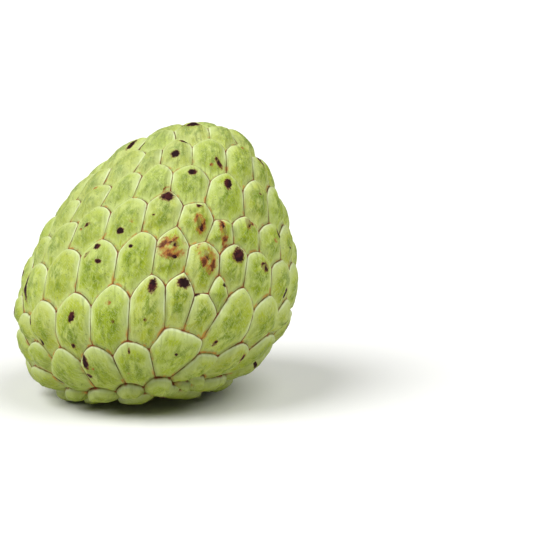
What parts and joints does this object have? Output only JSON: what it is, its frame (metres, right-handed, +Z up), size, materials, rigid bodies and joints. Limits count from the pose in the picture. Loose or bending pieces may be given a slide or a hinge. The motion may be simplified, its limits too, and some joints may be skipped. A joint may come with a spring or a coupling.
{
  "type": "custard apple",
  "caption": "Whole ripe custard apple, a blunt oblique heart covered in rounded green scales, resting on a small flat spot at its stem end.",
  "frame": {"origin": "bottom centre of the fruit's box, on the surface it rests on", "axes": "+Z up, -Y towards the side seen in the picture, +X to the right, the way the top leans"},
  "size_m": [0.1022, 0.1016, 0.0963],
  "materials": {
    "rind": "waxy green fruit skin"
  },
  "bodies": {
    "root": {"fruit": "rind"}
  },
  "joints": []
}
